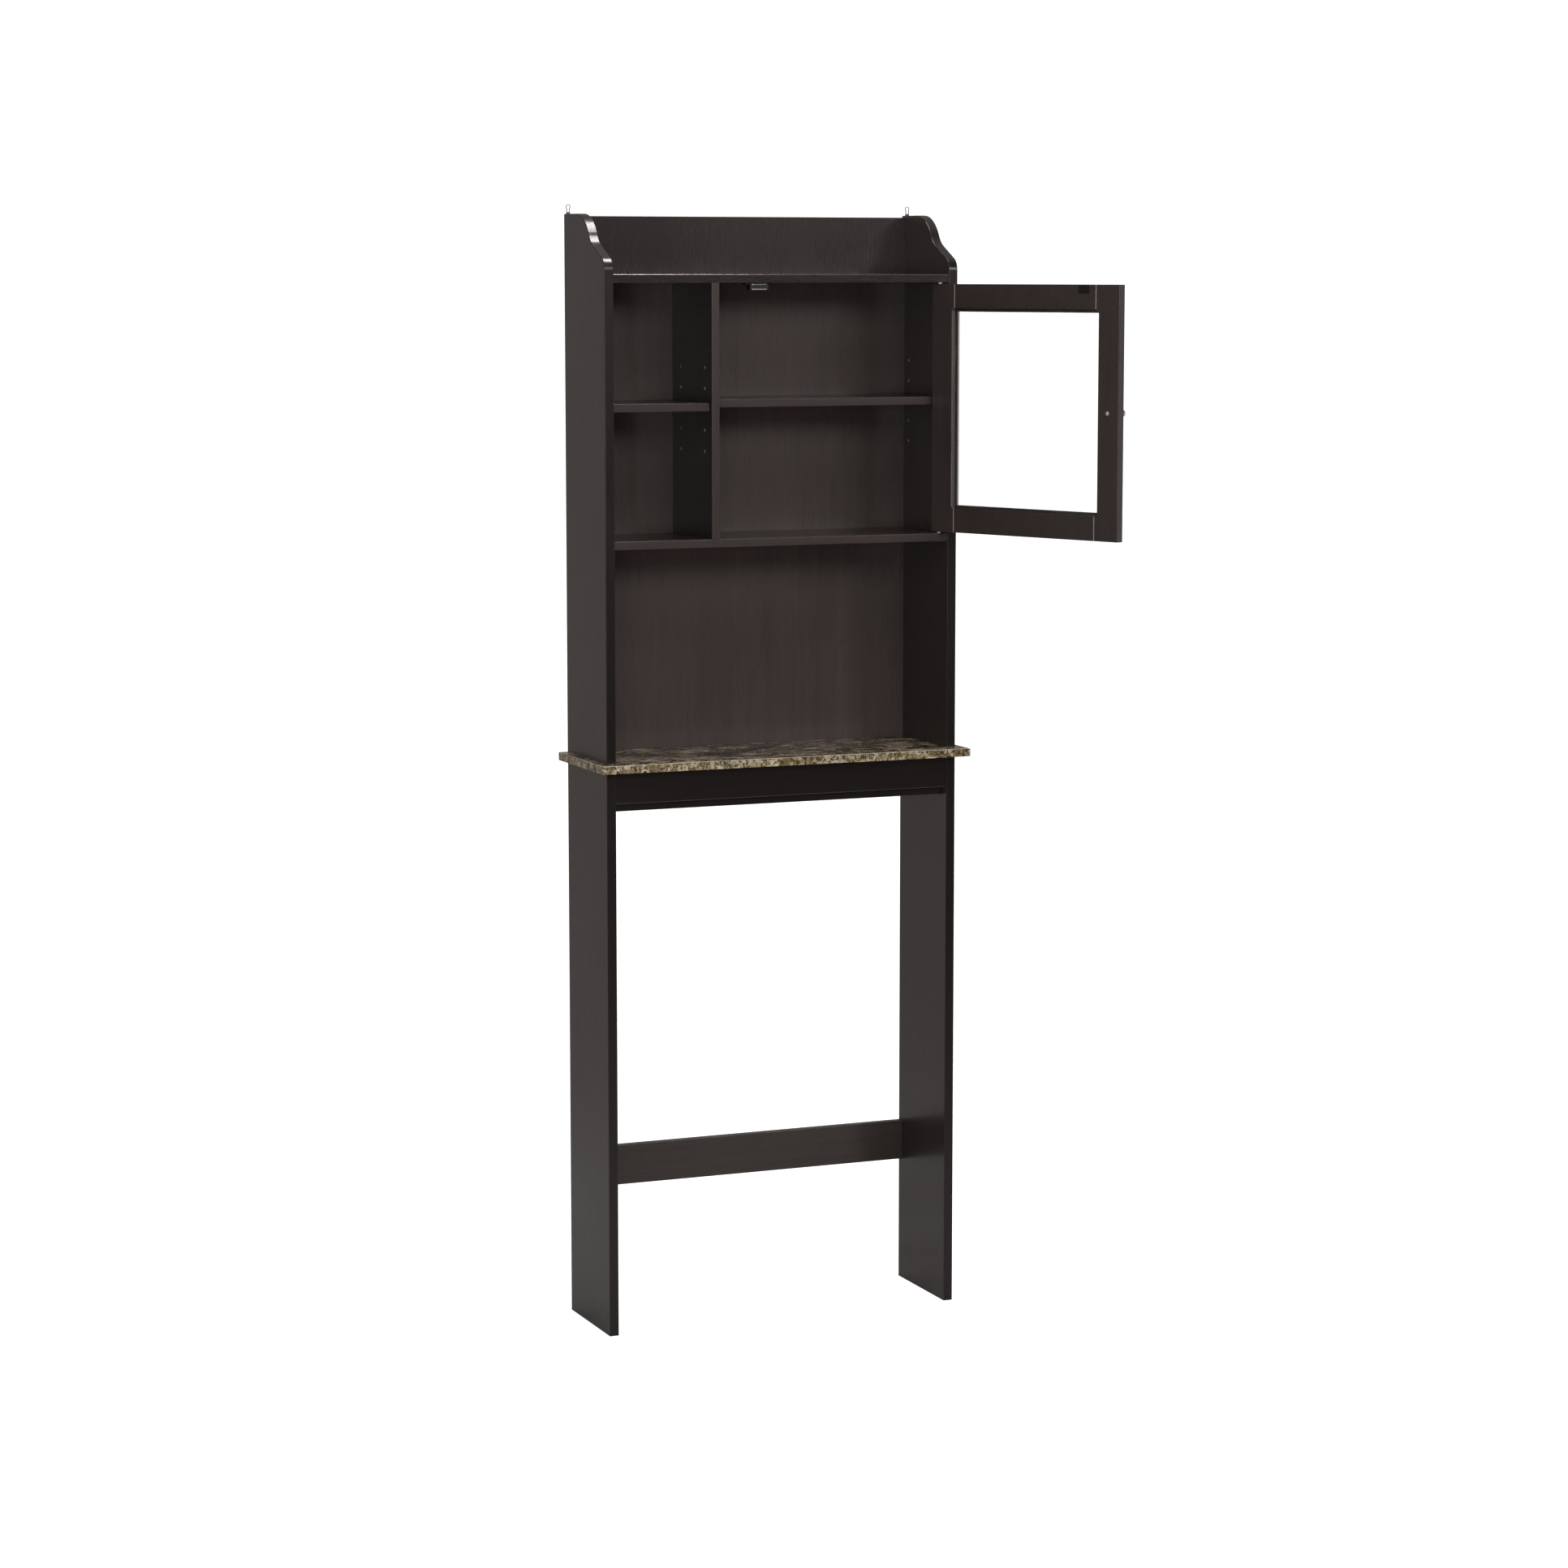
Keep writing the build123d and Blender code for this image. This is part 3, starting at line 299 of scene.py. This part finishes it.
# boards by the finishes of their faces, edges and arrises, then of a rear face that differs
boards = {
    (upright_face, upright_edge, upright_arris): [
        "leg_panel_left", "leg_panel_right", "side_panel_left", "side_panel_right"],
    (level_face, level_face, level_arris): ["front_apron", "under_board", "top_shelf"],
    (stretcher_face, stretcher_face, level_arris): ["rear_stretcher"],
    (gallery_face, gallery_face, upright_arris, rear_face): ["gallery_board"],
    (back_face, back_face, back_face, rear_face): ["back_panel"],
    (shelf_face, shelf_edge, shelf_arris): [
        "adjustable_shelf_left", "adjustable_shelf_right", "bottom_shelf"],
    (divider_face, divider_edge, divider_arris): ["divider"],
    (stile_face, rabbet_edge, joint_arris): ["door_stile_hinge"],
    (stile_face, door_edge, door_arris): ["door_stile_latch"],
    (rail_face, door_edge, joint_arris): ["door_rail_top", "door_rail_bottom"],
}
finishes = {
    laminate: ["counter_top"],
    zinc: ["cam_bolts", "counter_screws", "back_screws", "wall_hanger_screws", "catch_pole_plates",
           "catch_screws", "shelf_pins_left", "shelf_pins_right", "pivot_pin_top", "pivot_pin_bottom"],
    bright_zinc: ["knob_screw"],
    hanger_steel: ["wall_hanger_left", "wall_hanger_right"],
    painted_shade_metal: ["strike_plate", "strike_screws"],
    sealant: ["glazing_seal"],
    nickel: ["door_knob"],
    casting: ["cam_locks"],
    brown_plastic: ["catch_body"],
    nylon: ["pivot_bushing_top", "pivot_bushing_bottom"],
    ferrite: ["catch_magnet"],
    beech: ["wood_dowels", "through_dowels", "door_dowels"],
    glass: ["door_glass"],
}
FACE_COSINE = 0.97  # a polygon that faces within this of the board's broad face belongs to it
EDGE_COSINE = 0.25  # one that faces further off than this is an edge; an arris is between the two


def dress(name, materials):
    """Gives a node's mesh its material slots."""
    mesh = nodes[name].data
    mesh.materials.clear()
    for material in materials:
        mesh.materials.append(material)
    return mesh


def dress_board(name, materials):
    """Gives a board finishes for its faces, edges and arrises, and maybe one for its rear face."""
    mesh = dress(name, materials)
    facing = max(mesh.polygons, key=lambda polygon: polygon.area).normal.copy()
    for polygon in mesh.polygons:
        cosine = abs(polygon.normal.dot(facing))
        if len(materials) > 3 and polygon.normal.y > FACE_COSINE:
            polygon.material_index = 3
        elif cosine > FACE_COSINE:
            polygon.material_index = 0
        elif cosine < EDGE_COSINE:
            polygon.material_index = 1
        else:
            polygon.material_index = 2


for materials, names in boards.items():
    for name in names:
        dress_board(name, materials)
for material, names in finishes.items():
    for name in names:
        dress(name, [material])

# ---------------------------------------------------------------- raw bores for the shelf pins
PIN_PITCH = 32 * MM
PIN_RADIUS = 2.45 * MM
PIN_DEPTH = 8 * MM  # how far a pin stands in its hole
SPARE_HOLES = (-2, -1, 1, 2)  # in steps of the pitch from the pins in use
BORE_RADIUS = 2.42 * MM
BORE_WALL = 0.25 * MM
BORE_START = 0.05 * MM  # the liner's rim lies this far inside the mouth
BORE_DEPTH = 7.8 * MM
BORE_SIDES = 20


def bore_liner(mesh, mouth, inward):
    """Adds a thin cup of raw board to a mesh, with its open rim at the mouth of a bore."""
    turn = Vector((1, 0, 0)).rotation_difference(inward).to_matrix()
    inner_radius = BORE_RADIUS - BORE_WALL
    profile = [(BORE_START, BORE_RADIUS), (BORE_DEPTH, BORE_RADIUS),
               (BORE_DEPTH - BORE_WALL, inner_radius), (BORE_START, inner_radius)]
    rings = []
    for depth, radius in profile:
        ring = []
        for step in range(BORE_SIDES):
            angle = 2 * math.pi * step / BORE_SIDES
            point = Vector((depth, radius * math.cos(angle), radius * math.sin(angle)))
            ring.append(mesh.verts.new(mouth + turn @ point))
        rings.append(ring)
    for first, second in ((0, 1), (2, 3), (3, 0)):
        for step in range(BORE_SIDES):
            after = (step + 1) % BORE_SIDES
            mesh.faces.new((rings[first][step], rings[first][after],
                            rings[second][after], rings[second][step]))
    mesh.faces.new(rings[1])
    mesh.faces.new(list(reversed(rings[2])))


def line_bores(side):
    """Raw board shows inside every spare pin hole of one bay."""
    low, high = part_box(f"shelf_pins_{side}")
    rows = (low.y + PIN_RADIUS, high.y - PIN_RADIUS)
    pin_z = (low.z + high.z) / 2
    made = bmesh.new()
    for y in rows:
        for step in SPARE_HOLES:
            for x, inward in ((low.x + PIN_DEPTH, -1), (high.x - PIN_DEPTH, 1)):
                mouth = Vector((x, y, pin_z + step * PIN_PITCH))
                bore_liner(made, mouth, Vector((inward, 0, 0)))
    bmesh.ops.recalc_face_normals(made, faces=made.faces)
    mesh = bpy.data.meshes.new(f"pin_bores_{side}")
    made.to_mesh(mesh)
    made.free()
    piece = bpy.data.objects.new(f"pin_bores_{side}", mesh)
    bpy.context.scene.collection.objects.link(piece)
    mesh.materials.append(fibreboard)
    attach(piece, "carcass")


line_bores("left")
line_bores("right")

# ---------------------------------------------------------------- floor
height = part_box("side_panel_right")[1].z
middle = Vector((0, 0, height / 2))
FLOOR_RADIUS = 2 * height
FADE_START = 0.6 * height
FADE_END = 1.9 * height
FLOOR_DROP = 0.5 * MM  # keeps the floor just clear of the feet


def floor_material():
    """Pale seamless floor that fades out to the backdrop; only the camera sees it glow white."""
    finish = Finish("studio_floor", Roughness=0.9)
    finish.set("Base Color", (0.72, 0.72, 0.715))
    finish.set("Emission Color", (1, 1, 1))
    finish.set("Emission Strength", finish.node("ShaderNodeLightPath").outputs["Is Camera Ray"])
    place = finish.node("ShaderNodeTexCoord").outputs["Object"]
    distance = finish.node("ShaderNodeVectorMath", [(0, place)], operation="LENGTH").outputs["Value"]
    finish.set("Alpha", finish.span(distance, FADE_START, FADE_END, 1, 0))
    return finish.data


bpy.ops.mesh.primitive_circle_add(vertices=96, radius=FLOOR_RADIUS, fill_type="NGON")
floor = bpy.context.object
floor.name = "studio_floor"
floor.location.z = -FLOOR_DROP
floor.data.materials.append(floor_material())


# ---------------------------------------------------------------- light
def stand(thing, azimuth, elevation, distance, target):
    """Stands a lamp or the camera on a sphere round a point and turns it to face the point."""
    turn, lift = math.radians(azimuth), math.radians(elevation)
    back = Vector((math.sin(turn) * math.cos(lift), -math.cos(turn) * math.cos(lift), math.sin(lift)))
    thing.location = target + back * distance
    thing.rotation_euler = (-back).to_track_quat("-Z", "Y").to_euler()
    bpy.context.scene.collection.objects.link(thing)


def softbox(name, azimuth, elevation, distance, size, power, target=middle):
    """A rectangular area light: angles in degrees, distance and size in metres, power in watts."""
    data = bpy.data.lights.new(name, "AREA")
    data.shape = "RECTANGLE"
    data.size, data.size_y = size
    data.energy = power
    stand(bpy.data.objects.new(name, data), azimuth, elevation, distance, target)


just_in_front = middle + Vector((0, -0.08, 0))
softbox("key_front", azimuth=0, elevation=23, distance=7.0, size=(4.4, 1.6), power=85)
softbox("low_fill", azimuth=-27, elevation=4, distance=7.0, size=(2.4, 1.4), power=64)
softbox("right_fill", azimuth=27, elevation=17, distance=9.0, size=(2.0, 1.4), power=80)
softbox("high_fill", azimuth=-12, elevation=52, distance=5.0, size=(2.5, 1.5), power=48)
softbox("overhead", azimuth=90, elevation=82.5, distance=2.17, size=(0.75, 0.3), power=20,
        target=just_in_front)
softbox("left_fill", azimuth=-66, elevation=14, distance=5.0, size=(2.0, 2.0), power=20)
softbox("right_rim", azimuth=68, elevation=0, distance=4.2, size=(1.2, 2.4), power=9)


def studio_world(back_strength, front_strength, seen_strength):
    """A studio that is bright behind the rack and dim in front, with a plain white backdrop."""
    dim_until, bright_from = -0.3, 0.8  # the Y of a direction in the room
    world = bpy.data.worlds.new("studio")
    bpy.context.scene.world = world
    world.use_nodes = True
    tree = world.node_tree
    room = tree.nodes["Background"]
    backdrop = tree.nodes.new("ShaderNodeBackground")
    backdrop.inputs["Strength"].default_value = seen_strength
    room.inputs["Color"].default_value = (1, 0.925, 0.895, 1)
    backdrop.inputs["Color"].default_value = (1, 1, 1, 1)
    direction = tree.nodes.new("ShaderNodeTexCoord")
    split = tree.nodes.new("ShaderNodeSeparateXYZ")
    spread = tree.nodes.new("ShaderNodeMapRange")
    spread.interpolation_type = "SMOOTHSTEP"
    for socket, value in (("From Min", dim_until), ("From Max", bright_from),
                          ("To Min", front_strength), ("To Max", back_strength)):
        spread.inputs[socket].default_value = value
    paths = tree.nodes.new("ShaderNodeLightPath")
    seen = tree.nodes.new("ShaderNodeMath")
    seen.operation = "MAXIMUM"
    choose = tree.nodes.new("ShaderNodeMixShader")
    for start, end in (
        (direction.outputs["Generated"], split.inputs[0]),
        (split.outputs["Y"], spread.inputs["Value"]),
        (spread.outputs["Result"], room.inputs["Strength"]),
        (paths.outputs["Is Camera Ray"], seen.inputs[0]),
        (paths.outputs["Is Transmission Ray"], seen.inputs[1]),
        (seen.outputs[0], choose.inputs["Fac"]),
        (room.outputs[0], choose.inputs[1]),
        (backdrop.outputs[0], choose.inputs[2]),
        (choose.outputs[0], tree.nodes["World Output"].inputs["Surface"]),
    ):
        tree.links.new(start, end)


studio_world(back_strength=0.285, front_strength=0.08, seen_strength=1.3)
bpy.context.scene.view_settings.view_transform = "Standard"

# ---------------------------------------------------------------- camera
VIEW_AZIMUTH = -22.6
VIEW_ELEVATION = 7.3
VIEW_DISTANCE = 6.35
LENS = 92.3
SENSOR_WIDTH = 36
look_at = Vector((0.037, 0, 0.485 * height))

camera_data = bpy.data.cameras.new("camera")
camera_data.lens = LENS
camera_data.sensor_width = SENSOR_WIDTH
camera = bpy.data.objects.new("camera", camera_data)
stand(camera, VIEW_AZIMUTH, VIEW_ELEVATION, VIEW_DISTANCE, look_at)
bpy.context.scene.camera = camera
